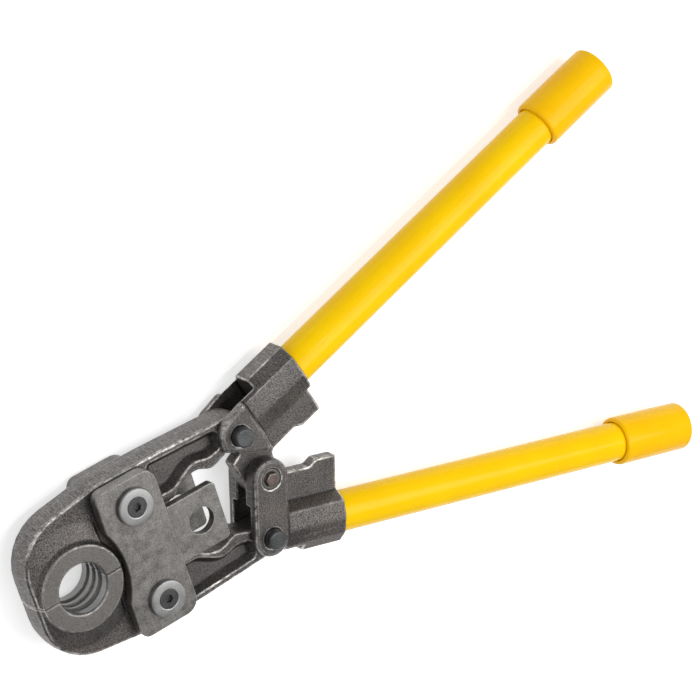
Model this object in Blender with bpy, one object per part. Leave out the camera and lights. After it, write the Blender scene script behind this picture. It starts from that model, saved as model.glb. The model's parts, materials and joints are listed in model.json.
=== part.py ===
# Hand pliers for pressing pipe fittings, lying on its back with the jaws closed.
# X runs along the tool from the press ring to the grips, Y is the way the jaws and handles open,
# Z is up through the faces of the tool. The origin is on the floor under the middle of its box.
# Sizes are in metres.

from math import acos, atan2, cos, degrees, pi, radians, sin, sqrt, tan

import bmesh
import bpy
from mathutils import Matrix, Vector

# Clearances
FIT = 0.0003
SPLIT = 0.0002
PIVOT_PLAY = 0.0022

# Press ring, machined in the jaws
BORE_RADIUS = 0.0128
GROOVE_DEPTH = 0.0013
GROOVE_WIDTH = 0.0036
GROOVE_PITCH = 0.0062
RING_RADIUS = 0.0218
RING_HALF = 0.0135
RING_TO_PIVOTS = 0.0376
RING_FILLET = 0.0024

# Jaws
PIVOT_SPREAD = 0.0263
ARM_REACH = 0.0655
LEVER_PIN_SPREAD = 0.0298
JAW_HALF = 0.0080
DOME_HALF = 0.0102
DOME_RADIUS = 0.0340
NOSE_REACH = 0.0247
NOSE_HALF_WIDTH = 0.0353
NOSE_CORNER = 0.0280
HEAD_HALF_WIDTH = 0.0431
HEAD_PEAK = 0.0110
ARM_HALF_WIDTH = 0.0424
ARM_END_CREST = 0.0105
ARM_END_RADIUS = 0.0076
ARM_NECK = 0.0050
ARM_WAIST = 0.0213
DRAFT = 0.0006
POCKET_TAPER = 0.0026
RIM_OUTER = 0.0030
RIM_INNER = 0.0058
WEB_HALF = 0.0034
EDGE_BREAK = 0.0010
PIVOT_LAND_RADIUS = 0.0125

# Straps, the two T-shaped plates that carry the jaw pivots
STRAP_GAP = 0.0009
STRAP_STEM_THICK = 0.0046
STRAP_CROSS_THICK = 0.0064
CROSS_BACK = 0.0182
CROSS_FRONT = 0.0154
CROSS_HALF = 0.0410
CROSS_CORNER = 0.0075
CROSS_NOSE_CORNER = 0.0050
NOTCH_HALF = 0.0200
NOTCH_SAG = 0.0047
STEM_HALF = 0.0159
STEM_END = 0.0440
STEM_CORNER = 0.0026
STEM_HOLE_RADIUS = 0.0070
STEM_HOLE_X = 0.0314

# Jaw pivots
PIVOT_RADIUS = 0.0068
WASHER_RADIUS = 0.0092
WASHER_THICK = 0.0024
SCREW_HEAD_RADIUS = 0.0051
SCREW_SHANK_RADIUS = 0.0030
SCREW_LENGTH = 0.0095
SCREW_SOCKET_RADIUS = 0.0017

# Levers
TOGGLE = 0.0311
EAR_FACE = 0.0130
TONGUE_HALF = 0.0040
SLOT_END = 0.0212
SLOT_FLOOR = 0.0098
SLOT_CORNER = 0.004
SOCKET_START = 0.0085
UPPER_SOCKET_END = 0.0463
LOWER_SOCKET_END = 0.0453
SOCKET_HALF = 0.0122
SOCKET_INNER = 0.0135
UPPER_SOCKET_OUTER = 0.0157
LOWER_SOCKET_OUTER = 0.0137
SHORT_EAR_RADIUS = 0.0110
SHORT_EAR_EDGE = 0.0088
SHORT_EAR_SLOPE = 41.5
LONG_EAR_RADIUS = 0.0102
TONGUE_RADIUS = 0.0106
EAR_BEVEL = 0.0018
EDGE_ROUND = 0.0006
WING_HALF = 0.0035
UPPER_WING_LOW = 0.0253
UPPER_WING_PAD = 0.0281
LOWER_WING_LOW = 0.0295
LOWER_WING_PAD = 0.0326
WING_STEP = 0.0315
LEVER_PIN_RADIUS = 0.0050
LEVER_PIN_PROUD = 0.0048
CENTRE_PIN_RADIUS = 0.0036
CENTRE_HEX_ACROSS = 0.0066
CENTRE_HEX_PROUD = 0.0020
BUSH_RADIUS = 0.0052

# Handles
TUBE_RADIUS = 0.0102
TUBE_WALL = 0.0020
TUBE_STOP = 0.0025
HANDLE_LENGTH = 0.2806
GRIP_RADIUS = 0.0126
GRIP_LENGTH = 0.0475
GRIP_END_WALL = 0.0030
GRIP_EDGE = 0.0030

# How far a cutter runs past the piece that it cuts
THROUGH = 0.03
OPEN_END = 0.04

ROUND_SIDES = 32
BORE_SIDES = 48
STRAP_INNER = JAW_HALF + STRAP_GAP
STRAP_STEM_FACE = STRAP_INNER + STRAP_STEM_THICK
STRAP_CROSS_FACE = STRAP_INNER + STRAP_CROSS_THICK
WASHER_FACE = STRAP_CROSS_FACE + FIT + WASHER_THICK
SLOT_HALF = JAW_HALF + FIT
ARM_END_HALF_WIDTH = LEVER_PIN_SPREAD + ARM_END_CREST
HANDLE_ANGLE = acos(LEVER_PIN_SPREAD / TOGGLE)
TUBE_SEAT = SLOT_END + TUBE_STOP


def clear_scene():
    for item in list(bpy.data.objects):
        bpy.data.objects.remove(item, do_unlink=True)


def material(name, colour, roughness, metallic):
    paint = bpy.data.materials.new(name)
    paint.use_nodes = True
    shader = paint.node_tree.nodes["Principled BSDF"]
    shader.inputs["Base Color"].default_value = (*colour, 1.0)
    shader.inputs["Roughness"].default_value = roughness
    shader.inputs["Metallic"].default_value = metallic
    return paint


def add_object(name, mesh):
    item = bpy.data.objects.new(name, mesh)
    bpy.context.scene.collection.objects.link(item)
    return item


def from_bmesh(name, shape):
    bmesh.ops.recalc_face_normals(shape, faces=shape.faces)
    mesh = bpy.data.meshes.new(name)
    shape.to_mesh(mesh)
    shape.free()
    return add_object(name, mesh)


def outline(corners, step_deg=12):
    """Points of a closed outline whose corners (x, y, radius) are rounded by arcs."""
    points = []
    count = len(corners)
    for i, (x, y, radius) in enumerate(corners):
        corner = Vector((x, y))
        before = Vector(corners[i - 1][:2]) - corner
        after = Vector(corners[(i + 1) % count][:2]) - corner
        if radius <= 0:
            points.append((x, y))
            continue
        half = before.angle(after) / 2
        reach = radius / tan(half)
        room = [before.length * (0.499 if corners[i - 1][2] > 0 else 0.999),
                after.length * (0.499 if corners[(i + 1) % count][2] > 0 else 0.999)]
        if reach > min(room):
            reach = min(room)
            radius = reach * tan(half)
        start = corner + before.normalized() * reach
        end = corner + after.normalized() * reach
        centre = corner + (before.normalized() + after.normalized()).normalized() * (radius / sin(half))
        first = atan2(start.y - centre.y, start.x - centre.x)
        turn = atan2(end.y - centre.y, end.x - centre.x) - first
        turn = (turn + pi) % (2 * pi) - pi
        steps = max(2, round(abs(degrees(turn)) / step_deg))
        for n in range(steps + 1):
            angle = first + turn * n / steps
            points.append((centre.x + radius * cos(angle), centre.y + radius * sin(angle)))
    return points


def arc(x, y, radius, first_deg, last_deg, steps=10):
    angles = [radians(first_deg + (last_deg - first_deg) * n / steps) for n in range(steps + 1)]
    return [(x + radius * cos(a), y + radius * sin(a)) for a in angles]


def circle(x, y, radius, sides=ROUND_SIDES):
    return arc(x, y, radius, 0, 360 - 360 / sides, sides - 1)


def prism(name, points, low, high, bevel=0.0, segments=2):
    """Upright prism over a closed outline, its two rims rounded by bevel."""
    shape = bmesh.new()
    face = shape.faces.new([shape.verts.new((x, y, low)) for x, y in points])
    grown = bmesh.ops.extrude_face_region(shape, geom=[face])
    moved = [part for part in grown["geom"] if isinstance(part, bmesh.types.BMVert)]
    bmesh.ops.translate(shape, verts=moved, vec=(0, 0, high - low))
    if bevel > 0:
        rims = [edge for edge in shape.edges if abs(edge.verts[0].co.z - edge.verts[1].co.z) < 1e-7]
        bmesh.ops.bevel(shape, geom=rims, offset=bevel, segments=segments, profile=0.5,
                        affect='EDGES', clamp_overlap=True)
    return from_bmesh(name, shape)


def loft(name, levels):
    """Solid through closed outlines of equal count, given as (z, points) from low to high."""
    shape = bmesh.new()
    rings = [[shape.verts.new((x, y, z)) for x, y in points] for z, points in levels]
    for a, b in zip(rings, rings[1:]):
        for n in range(len(a)):
            m = (n + 1) % len(a)
            shape.faces.new((a[n], a[m], b[m], b[n]))
    shape.faces.new(rings[0])
    shape.faces.new(rings[-1])
    return from_bmesh(name, shape)


def forged(name, points, side):
    """Plate of the jaws: widest at its parting line, drafted and edge-broken towards both faces."""
    shoulder = JAW_HALF - EDGE_BREAK
    upper = [(0.0, 0.0), (shoulder, DRAFT), (JAW_HALF - EDGE_BREAK / 4, DRAFT + EDGE_BREAK / 3),
             (JAW_HALF, DRAFT + EDGE_BREAK)]
    levels = [(-z, away) for z, away in reversed(upper[1:])] + upper
    return loft(name, [(z, mirrored(inset(points, away), side)) for z, away in levels])


def turned(name, profile, x=0.0, y=0.0, sides=ROUND_SIDES):
    """Solid of revolution about an upright axis. A profile point is (radius, z)."""
    shape = bmesh.new()
    rings = []
    for radius, z in profile:
        if radius <= 0:
            rings.append([shape.verts.new((x, y, z))])
            continue
        rings.append([shape.verts.new((x + radius * cos(2 * pi * n / sides),
                                       y + radius * sin(2 * pi * n / sides), z)) for n in range(sides)])
    pairs = list(zip(rings, rings[1:]))
    if profile[0][0] > 0:
        pairs.append((rings[-1], rings[0]))
    for a, b in pairs:
        for n in range(sides):
            m = (n + 1) % sides
            if len(a) == 1:
                shape.faces.new((a[0], b[n], b[m]))
            elif len(b) == 1:
                shape.faces.new((a[n], a[m], b[0]))
            else:
                shape.faces.new((a[n], a[m], b[m], b[n]))
    return from_bmesh(name, shape)


def rod(name, radius, low, high, x=0.0, y=0.0, chamfer=0.0, sides=ROUND_SIDES):
    ends = [(radius - chamfer, low), (radius, low + chamfer), (radius, high - chamfer), (radius - chamfer, high)]
    if chamfer <= 0:
        ends = [(radius, low), (radius, high)]
    return turned(name, [(0, low)] + ends + [(0, high)], x, y, sides)


def combine(body, tool, operation):
    """Apply one exact boolean of tool on body and drop the tool."""
    cut = body.modifiers.new(operation.title(), 'BOOLEAN')
    cut.operation = operation
    cut.solver = 'EXACT'
    cut.object = tool
    bpy.context.view_layer.update()
    seen = body.evaluated_get(bpy.context.evaluated_depsgraph_get())
    mesh = bpy.data.meshes.new_from_object(seen)
    body.modifiers.clear()
    old = body.data
    body.data = mesh
    mesh.name = body.name
    bpy.data.meshes.remove(old)
    bpy.data.objects.remove(tool, do_unlink=True)
    return body


def cut(body, *tools):
    for tool in tools:
        combine(body, tool, 'DIFFERENCE')
    return body


def join(body, *tools):
    for tool in tools:
        combine(body, tool, 'UNION')
    return body


def inset(points, distance):
    """The counterclockwise or clockwise outline moved inwards by distance, except along the split face."""
    area = sum(a[0] * b[1] - b[0] * a[1] for a, b in zip(points, points[1:] + points[:1]))
    turn = 1 if area > 0 else -1
    moved = []
    for i, (x, y) in enumerate(points):
        before = (Vector((x, y)) - Vector(points[i - 1])).normalized()
        after = (Vector(points[(i + 1) % len(points)]) - Vector((x, y))).normalized()
        along = (before + after).normalized()
        reach = distance / max(0.3, along.dot(after))
        inner = Vector((x, y)) + turn * reach * Vector((-along.y, along.x))
        moved.append((inner.x, y if y == SPLIT else inner.y))
    return moved


def mirrored(points, side):
    """The outline on one side of the centre line: 1 keeps it, -1 mirrors it in Y."""
    return [(x, side * y) for x, y in points]


def shade(item, paint, sharp_deg=32):
    mesh = item.data
    mesh.materials.clear()
    mesh.materials.append(paint)
    mesh.shade_smooth()
    mesh.set_sharp_from_angle(angle=radians(sharp_deg))
    return item


def hang(item, pivot, parent=None):
    """Move the item's origin to its pivot, so that it turns about its own joint."""
    item.data.transform(Matrix.Translation((-pivot[0], -pivot[1], 0)))
    item.location = (pivot[0], pivot[1], 0)
    if parent is not None:
        item.parent = parent
        item.location = (pivot[0] - parent.location.x, pivot[1] - parent.location.y, 0)
    return item


def jaw_pivot(side):
    return (0.0, side * PIVOT_SPREAD)


def lever_pivot(side):
    return (ARM_REACH, side * LEVER_PIN_SPREAD)


# Jaws

def between(first, last, share):
    return first + (last - first) * share


def jaw_outline():
    """Upper jaw from the split face round the head, along the arm and back inside."""
    nose = -RING_TO_PIVOTS - NOSE_REACH
    end_x, end_y = lever_pivot(1)
    r = ARM_END_RADIUS
    start = PIVOT_LAND_RADIUS + ARM_NECK
    stem_side = STEM_HALF - 0.0012
    return outline([
        (nose, SPLIT, 0),
        (nose, NOSE_HALF_WIDTH, NOSE_CORNER),
        (-HEAD_PEAK, HEAD_HALF_WIDTH, 0.020),
        (between(-HEAD_PEAK, end_x, 0.45), ARM_HALF_WIDTH, 0.060),
        (end_x + r, ARM_END_HALF_WIDTH, r + 0.0010),
        (end_x + r, end_y - r, r - 0.0004),
        (end_x - 0.0065, end_y - r, 0.006),
        (between(start, end_x, 0.624), ARM_WAIST - 0.0034, 0.008),
        (between(start, end_x, 0.468), ARM_WAIST + 0.0012, 0.010),
        (between(start, end_x, 0.302), ARM_WAIST - 0.0010, 0.012),
        (between(start, end_x, 0.142), stem_side, 0.003),
        (start, stem_side, 0.004),
        (0.0070, 0.0050, 0.004),
        (0.0010, SPLIT, 0),
    ])


def pocket_outline():
    """The arm's recessed web, between its outer and inner rims."""
    end_x, end_y = lever_pivot(1)
    start = PIVOT_LAND_RADIUS + ARM_NECK
    left = PIVOT_LAND_RADIUS + 0.0022
    right = end_x - 0.0088
    top = ARM_HALF_WIDTH - DRAFT - RIM_OUTER
    return outline([
        (left, top, 0.003),
        (right, between(top, ARM_END_HALF_WIDTH - DRAFT - RIM_OUTER, 0.8), 0.004),
        (right, ARM_WAIST - 0.0002 + RIM_INNER, 0.004),
        (between(start, end_x, 0.62), ARM_WAIST - 0.0018 + RIM_INNER, 0.007),
        (between(start, end_x, 0.44), ARM_WAIST + 0.0008 + RIM_INNER, 0.010),
        (between(start, end_x, 0.166), STEM_HALF - 0.0016 + RIM_INNER, 0.008),
        (left, STEM_HALF - 0.0016 + RIM_INNER, 0.003),
    ])


def dome_profile():
    """Half section of the head round the bore: dome, fillet and raised ring face."""
    top = [(DOME_RADIUS, JAW_HALF - 0.0006), (RING_RADIUS + RING_FILLET, DOME_HALF)]
    rise = RING_HALF - DOME_HALF
    for n in range(1, 4):
        angle = radians(90 * n / 3)
        top.append((RING_RADIUS + RING_FILLET * (1 - sin(angle)), DOME_HALF + rise * (1 - cos(angle))))
    low = [(radius, -z) for radius, z in top]
    return [(0, RING_HALF)] + list(reversed(top)) + low + [(0, -RING_HALF)]


def bore_profile():
    """The press contour: a bore with turned grooves between its ridges."""
    profile = [(BORE_RADIUS + 0.0026, RING_HALF + 0.002), (BORE_RADIUS, RING_HALF - 0.0006)]
    for place in (1, 0, -1):
        z = place * GROOVE_PITCH
        half = GROOVE_WIDTH / 2
        deep = BORE_RADIUS + GROOVE_DEPTH
        profile += [(BORE_RADIUS, z + half), (deep, z + half - GROOVE_DEPTH / 2),
                    (deep, z - half + GROOVE_DEPTH / 2), (BORE_RADIUS, z - half)]
    profile += [(BORE_RADIUS, 0.0006 - RING_HALF), (BORE_RADIUS + 0.0026, -RING_HALF - 0.002)]
    return [(0, profile[0][1])] + profile + [(0, profile[-1][1])]


def land_outline():
    """Where the head is cut back flat for the strap to swing over it."""
    back = -CROSS_BACK - 0.0023
    radius = RING_RADIUS + 0.0007
    meet = sqrt(radius ** 2 - (back + RING_TO_PIVOTS) ** 2)
    first = degrees(atan2(meet, back + RING_TO_PIVOTS))
    notch = arc(-RING_TO_PIVOTS, 0, radius, first, -6, 10)
    return [(back, HEAD_HALF_WIDTH + 0.02)] + notch + [(0.05, notch[-1][1]), (0.05, HEAD_HALF_WIDTH + 0.02)]


def make_jaw(name, side, paint):
    jaw = forged(name, jaw_outline(), side)
    dome = turned("dome", dome_profile(), -RING_TO_PIVOTS, 0, BORE_SIDES)
    half = mirrored(inset(jaw_outline(), DRAFT + EDGE_BREAK), side)
    combine(dome, prism("half", half, -THROUGH, THROUGH), 'INTERSECT')
    floor = JAW_HALF - FIT
    land = mirrored(land_outline(), side)
    cut(dome, prism("land", land, floor, THROUGH), prism("land", land, -THROUGH, -floor))
    join(jaw, dome)
    x, y = jaw_pivot(side)
    boss = STRAP_INNER - FIT
    join(jaw, rod("boss", PIVOT_LAND_RADIUS, -boss, boss, x, y))
    mouth = mirrored(pocket_outline(), side)
    bottom = mirrored(inset(pocket_outline(), POCKET_TAPER), side)
    cut(jaw, loft("pocket", [(WEB_HALF, bottom), (JAW_HALF, mouth), (RING_HALF, mouth)]),
        loft("pocket", [(-RING_HALF, mouth), (-JAW_HALF, mouth), (-WEB_HALF, bottom)]))
    cut(jaw, turned("bore", bore_profile(), -RING_TO_PIVOTS, 0, BORE_SIDES))
    px, py = lever_pivot(side)
    holes = rod("hole", PIVOT_RADIUS + FIT, -THROUGH, THROUGH, x, y)
    cut(jaw, join(holes, rod("hole", LEVER_PIN_RADIUS + FIT, -THROUGH, THROUGH, px, py)))
    shade(jaw, paint)
    return hang(jaw, (x, y))


# Straps

def cross_outline():
    """The strap's cross piece: rounded ends and a shallow notch facing the press ring."""
    radius = (NOTCH_HALF ** 2 + NOTCH_SAG ** 2) / (2 * NOTCH_SAG)
    span = degrees(atan2(NOTCH_HALF, radius - NOTCH_SAG))
    centre = NOTCH_SAG - CROSS_BACK - radius
    right = outline([(-CROSS_BACK, -CROSS_HALF, CROSS_NOSE_CORNER), (CROSS_FRONT, -CROSS_HALF, CROSS_CORNER),
                     (CROSS_FRONT, CROSS_HALF, CROSS_CORNER), (-CROSS_BACK, CROSS_HALF, CROSS_NOSE_CORNER)])
    return right + arc(centre, 0, radius, span, -span, 12)


def stem_outline():
    return outline([(0, -STEM_HALF, 0), (STEM_END, -STEM_HALF, STEM_CORNER),
                    (STEM_END, STEM_HALF, STEM_CORNER), (0, STEM_HALF, 0)])


def make_strap(name, face, paint):
    strap = prism(name, cross_outline(), *sorted((face * STRAP_INNER, face * STRAP_CROSS_FACE)), 0.0005, 1)
    join(strap, prism("stem", stem_outline(), *sorted((face * STRAP_INNER, face * STRAP_STEM_FACE)), 0.0004, 1))
    cut(strap, rod("hole", STEM_HOLE_RADIUS, -THROUGH, THROUGH, STEM_HOLE_X, 0, 0, BORE_SIDES))
    for side in (1, -1):
        x, y = jaw_pivot(side)
        cut(strap, rod("hole", PIVOT_RADIUS + FIT, -THROUGH, THROUGH, x, y))
    return shade(strap, paint)


# Jaw pivots

def make_pivot(name, side, paint):
    x, y = jaw_pivot(side)
    end = STRAP_CROSS_FACE
    pin = rod(name, PIVOT_RADIUS, -end, end, x, y, 0.0004)
    cut(pin, rod("thread", SCREW_SHANK_RADIUS + FIT, -THROUGH, THROUGH, x, y, 0, 24))
    shade(pin, paint)
    return hang(pin, (x, y))


def make_washer(name, side, face, paint):
    x, y = jaw_pivot(side)
    low = STRAP_CROSS_FACE + FIT
    edge = 0.0006
    throat = SCREW_SHANK_RADIUS + FIT
    mouth = SCREW_HEAD_RADIUS + FIT
    sink = WASHER_FACE - (mouth - throat)
    profile = [(throat, low), (WASHER_RADIUS, low), (WASHER_RADIUS, WASHER_FACE - edge),
               (WASHER_RADIUS - edge, WASHER_FACE), (mouth, WASHER_FACE), (throat, sink)]
    washer = turned(name, [(radius, face * z) for radius, z in profile], x, y)
    shade(washer, paint)
    return hang(washer, (x, y))


def make_screw(name, side, face, paint):
    x, y = jaw_pivot(side)
    head = WASHER_FACE - 0.0001
    neck = head - (SCREW_HEAD_RADIUS - SCREW_SHANK_RADIUS)
    low = STRAP_CROSS_FACE - SCREW_LENGTH
    profile = [(0, low), (SCREW_SHANK_RADIUS, low), (SCREW_SHANK_RADIUS, neck), (SCREW_HEAD_RADIUS, head),
               (SCREW_SOCKET_RADIUS, head), (SCREW_SOCKET_RADIUS, head - 0.0016), (0, head - 0.0016)]
    screw = turned(name, [(radius, face * z) for radius, z in profile], x, y, 24)
    shade(screw, paint)
    return hang(screw, (x, y))


# Levers, drawn about their jaw pin: X along the handle, Y away from the centre line

def socket_section(outer):
    """Forged socket across the handle: faceted, thinner towards the stop wing. Points are (z, y)."""
    half = [(WING_HALF + 0.0005, -SOCKET_INNER, 0.0012),
            (SOCKET_HALF - 0.0020, 0.0035 - SOCKET_INNER, 0.0025),
            (SOCKET_HALF, -0.0008, 0.0060),
            (SOCKET_HALF - 0.0018, outer - 0.0060, 0.0025),
            (SOCKET_HALF - 0.0068, outer, 0.0015)]
    return outline(half + [(-z, y, radius) for z, y, radius in reversed(half)], 18)


def make_socket(side, outer, end):
    """The block that holds the tube, along X from the ears to its mouth."""
    section = mirrored(socket_section(outer), side)
    return lie_along_x(prism("socket", section, SOCKET_START, end, EDGE_ROUND, 1))


def wing_outline(low, pad, end):
    """The flat stop wing under the socket, with the raised pad that meets the other one."""
    left = TONGUE_RADIUS + 0.0012
    return outline([
        (left, -low, 0.0015), (WING_STEP - 0.0028, -low, 0.0020), (WING_STEP + 0.0012, -pad, 0.0020),
        (end - 0.0006, -pad, 0.0012), (end - 0.0006, -0.0110, 0), (left, -0.0110, 0),
    ])


def tongue_outline():
    """Centre tongue of the upper lever: down from its ears and round the centre pivot."""
    r = TONGUE_RADIUS
    round_end = arc(0, -TOGGLE, r, 180, 360, 14)
    return ([(-r + 0.0010, -0.0146)] + round_end
            + [(r, -UPPER_WING_LOW - 0.0030), (r + 0.0009, -UPPER_WING_LOW - 0.0008),
               (r + 0.0030, 0.0004 - UPPER_WING_LOW), (r + 0.0030, -0.0105), (-0.0030, -0.0105), (-0.0032, -0.0130)])


def short_ear_outline():
    """Upper lever's ear: round its pin at the left, cut off along its sloping lower edge."""
    r = SHORT_EAR_RADIUS
    right = SOCKET_START + 0.0032
    normal = 270 - SHORT_EAR_SLOPE
    last = normal - degrees(acos(SHORT_EAR_EDGE / r))
    corner_x = right - 0.0016
    slope = radians(SHORT_EAR_SLOPE)
    corner_y = -SHORT_EAR_EDGE / cos(slope) - corner_x * tan(slope)
    left = [(x, y, 0) for x, y in arc(0, 0, r, 90, last, 12)]
    return outline(left + [(corner_x, corner_y, 0.0023), (right, -SHORT_EAR_EDGE, 0.0040),
                           (right, r + 0.0012, 0.0023)])


def long_ear_outline():
    """Lower lever's ear: a link with round ends about the jaw pin and the centre pivot."""
    r = LONG_EAR_RADIUS
    return arc(0, 0, r, 0, 180, 16) + arc(0, -TOGGLE, r, 180, 360, 16)


def bore_tube_seat(lever):
    """The round hole that takes the tube, from the mouth to its seat."""
    hole = rod("seat", TUBE_RADIUS + FIT, TUBE_SEAT - FIT, UPPER_SOCKET_END + 0.01)
    hole.data.transform(Matrix.Rotation(pi / 2, 4, 'Y'))
    return cut(lever, hole)


def place_lever(item, side):
    """Swing a piece drawn about its jaw pin to the lever's rest angle, its origin on the pin."""
    item.data.transform(Matrix.Rotation(side * HANDLE_ANGLE, 4, 'Z'))
    x, y = lever_pivot(side)
    item.location = (x, y, 0)
    return item


def arm_slot(side):
    """The slot for the jaw's end, open to the left and away from the centre line."""
    points = [(-OPEN_END, -SLOT_FLOOR), (SLOT_END - SLOT_CORNER, -SLOT_FLOOR)]
    points += arc(SLOT_END - SLOT_CORNER, -SLOT_FLOOR + SLOT_CORNER, SLOT_CORNER, -90, 0, 5)
    points += [(SLOT_END, OPEN_END), (-OPEN_END, OPEN_END)]
    return prism("slot", mirrored(points, side), -SLOT_HALF, SLOT_HALF)


def make_upper_lever(paint):
    lever = prism("lever_upper", short_ear_outline(), -EAR_FACE, EAR_FACE, EAR_BEVEL)
    join(lever, make_socket(1, UPPER_SOCKET_OUTER, UPPER_SOCKET_END))
    wing = wing_outline(UPPER_WING_LOW, UPPER_WING_PAD, UPPER_SOCKET_END)
    join(lever, prism("wing", wing, -WING_HALF, WING_HALF, EDGE_ROUND, 1))
    join(lever, prism("tongue", tongue_outline(), -TONGUE_HALF, TONGUE_HALF, EDGE_ROUND, 1))
    cut(lever, arm_slot(1))
    cut(lever, rod("hole", LEVER_PIN_RADIUS + FIT, -THROUGH, THROUGH))
    cut(lever, rod("hole", CENTRE_PIN_RADIUS + FIT + PIVOT_PLAY, -THROUGH, THROUGH, 0, -TOGGLE))
    bore_tube_seat(lever)
    return place_lever(shade(lever, paint), 1)


def tongue_gap():
    """The space in the lower lever's ears that the upper lever's tongue swings in."""
    low = -TOGGLE - THROUGH
    high = -SLOT_FLOOR - 0.0072
    right = TONGUE_RADIUS + 0.0008
    points = [(-OPEN_END, low), (right, low), (right, high), (-OPEN_END, high)]
    return prism("gap", mirrored(points, -1), -TONGUE_HALF - FIT, TONGUE_HALF + FIT)


def lower_slot():
    """The jaw's slot in the lower lever, which runs on down to where its ears grow thicker."""
    step = -SLOT_FLOOR - 0.0073
    points = [(-OPEN_END, step), (LONG_EAR_RADIUS + 0.0008, step), (LONG_EAR_RADIUS + 0.0008, -SLOT_FLOOR),
              (SLOT_END - SLOT_CORNER, -SLOT_FLOOR)]
    points += arc(SLOT_END - SLOT_CORNER, -SLOT_FLOOR + SLOT_CORNER, SLOT_CORNER, -90, 0, 5)[1:]
    points += [(SLOT_END, OPEN_END), (-OPEN_END, OPEN_END)]
    return prism("slot", mirrored(points, -1), -SLOT_HALF, SLOT_HALF)


def make_lower_lever(paint):
    lever = prism("lever_lower", mirrored(long_ear_outline(), -1), -EAR_FACE, EAR_FACE, EAR_BEVEL)
    join(lever, make_socket(-1, LOWER_SOCKET_OUTER, LOWER_SOCKET_END))
    wing = mirrored(wing_outline(LOWER_WING_LOW, LOWER_WING_PAD, LOWER_SOCKET_END), -1)
    join(lever, prism("wing", wing, -WING_HALF, WING_HALF, EDGE_ROUND, 1))
    cut(lever, lower_slot(), tongue_gap())
    cut(lever, rod("hole", LEVER_PIN_RADIUS + FIT, -THROUGH, THROUGH))
    cut(lever, rod("hole", BUSH_RADIUS + FIT, -THROUGH, THROUGH, 0, TOGGLE))
    bore_tube_seat(lever)
    return place_lever(shade(lever, paint), -1)


def make_lever_pin(name, side, paint):
    end = EAR_FACE + LEVER_PIN_PROUD
    pin = shade(rod(name, LEVER_PIN_RADIUS, -end, end, 0, 0, 0.0004), paint)
    return place_lever(pin, side)


def make_centre_pin(paint):
    """Pin through both ears, with a hexagon stub at its front end for turning it."""
    end = EAR_FACE - 0.0003
    pin = rod("centre_pin", CENTRE_PIN_RADIUS, -end, end, 0, TOGGLE, 0.0003, 24)
    corner = CENTRE_HEX_ACROSS / sqrt(3)
    join(pin, prism("hex", circle(0, TOGGLE, corner, 6), end - 0.0005, end + CENTRE_HEX_PROUD, 0.0003, 1))
    return place_lever(shade(pin, paint), -1)


def make_bush(name, face, paint):
    """Eccentric bush of the centre pivot, pressed in one ear."""
    low = TONGUE_HALF + FIT
    high = EAR_FACE - 0.0004
    bush = rod(name, BUSH_RADIUS, *sorted((face * low, face * high)), 0, TOGGLE, 0, 24)
    cut(bush, rod("eye", CENTRE_PIN_RADIUS + FIT, -THROUGH, THROUGH, 0, TOGGLE, 0, 24))
    return place_lever(shade(bush, paint), -1)


# Handles

def lie_along_x(item):
    item.data.transform(Matrix.Rotation(pi / 2, 4, 'Y'))
    return item


def make_tube(name, side, paint):
    end = HANDLE_LENGTH - GRIP_END_WALL - FIT
    inner = TUBE_RADIUS - TUBE_WALL
    profile = [(inner, TUBE_SEAT), (TUBE_RADIUS, TUBE_SEAT), (TUBE_RADIUS, end), (inner, end)]
    tube = lie_along_x(turned(name, profile))
    return place_lever(shade(tube, paint), side)


def make_grip(name, side, paint):
    """Closed sleeve over the tube's end, both of its outer edges rounded."""
    start = HANDLE_LENGTH - GRIP_LENGTH
    inner = TUBE_RADIUS + FIT
    wall = GRIP_RADIUS - inner
    collar = wall * 0.9
    lip = [(GRIP_RADIUS - collar * (1 - sin(radians(a))), start + collar * (1 - cos(radians(a))))
           for a in (0, 30, 60, 90)]
    edge = [(GRIP_RADIUS - GRIP_EDGE * (1 - cos(radians(a))), HANDLE_LENGTH - GRIP_EDGE * (1 - sin(radians(a))))
            for a in (0, 30, 60, 90)]
    profile = [(0, HANDLE_LENGTH - GRIP_END_WALL), (inner, HANDLE_LENGTH - GRIP_END_WALL), (inner, start)]
    profile += lip + edge + [(0, HANDLE_LENGTH)]
    grip = lie_along_x(turned(name, profile))
    return place_lever(shade(grip, paint), side)


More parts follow.
